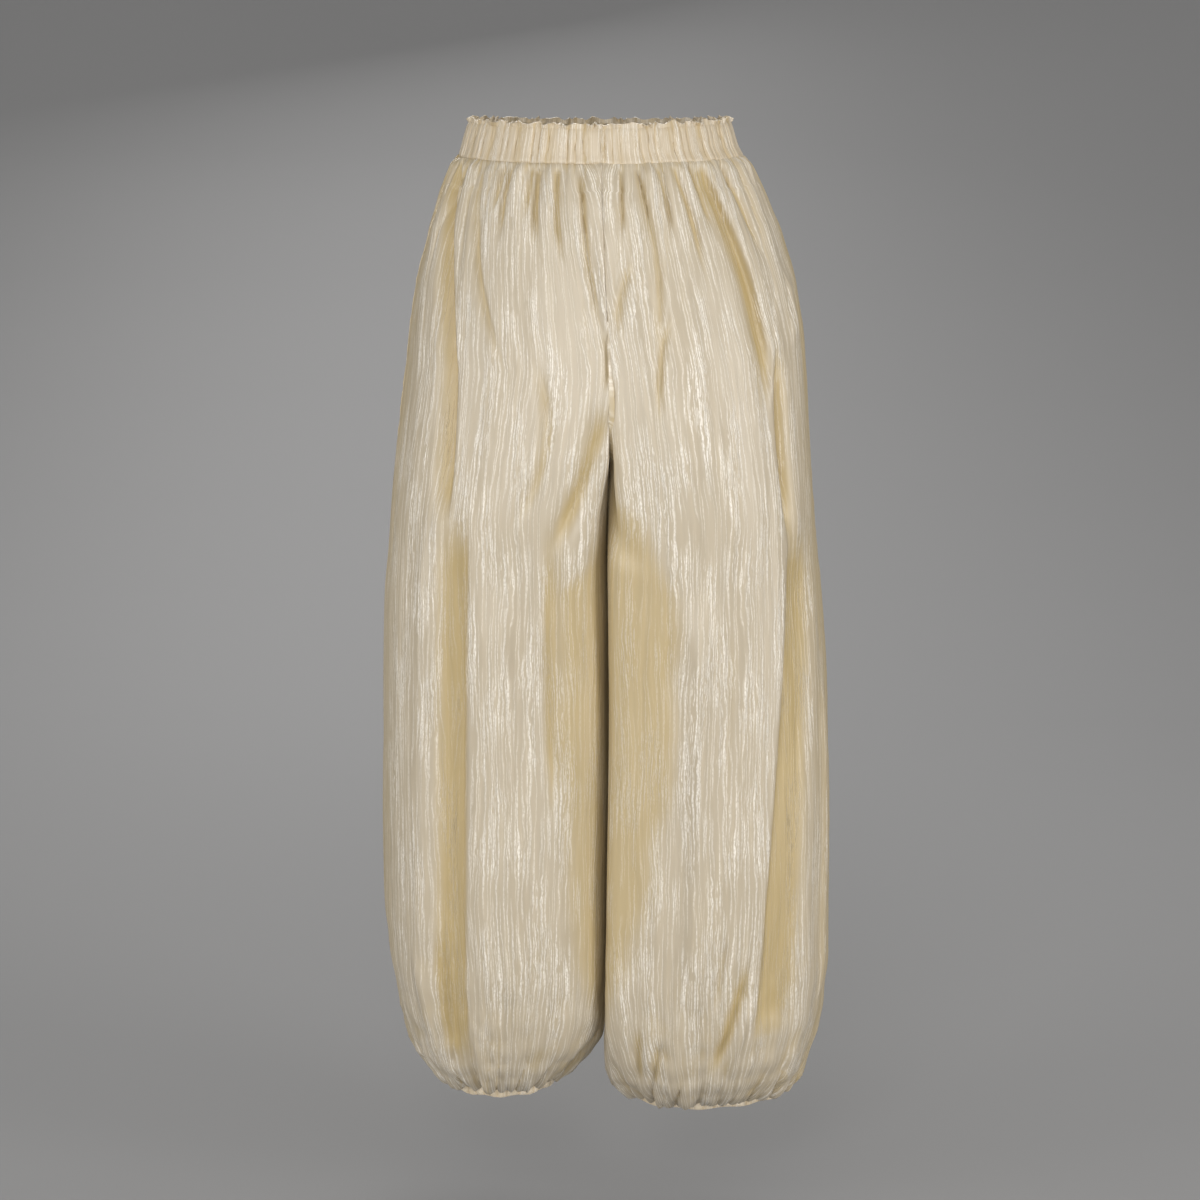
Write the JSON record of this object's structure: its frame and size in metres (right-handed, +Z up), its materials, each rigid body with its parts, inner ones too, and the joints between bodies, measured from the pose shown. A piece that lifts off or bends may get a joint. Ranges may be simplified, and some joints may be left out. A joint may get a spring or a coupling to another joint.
{
  "type": "harem pants",
  "caption": "Long balloon-leg harem pants with a gathered elastic waistband and gathered elastic ankle cuffs, in worn form.",
  "frame": {"origin": "middle of the waist opening, half way up the elastic channel, where the wearer's waist holds the garment", "axes": "+Z up along the wearer, +Y towards the wearer's front, -X towards the wearer's left side"},
  "size_m": [0.4321, 0.2643, 0.9535],
  "materials": {
    "waistband": "glossy crinkled satin, gathered",
    "leg_cloth": "glossy crinkled satin",
    "cuff_cloth": "glossy crinkled satin, gathered"
  },
  "bodies": {
    "root": {"waistband": "waistband", "back_left_leg": "leg_cloth", "back_right_leg": "leg_cloth", "front_left_leg": "leg_cloth", "front_right_leg": "leg_cloth", "left_cuff": "cuff_cloth", "right_cuff": "cuff_cloth"}
  },
  "joints": []
}
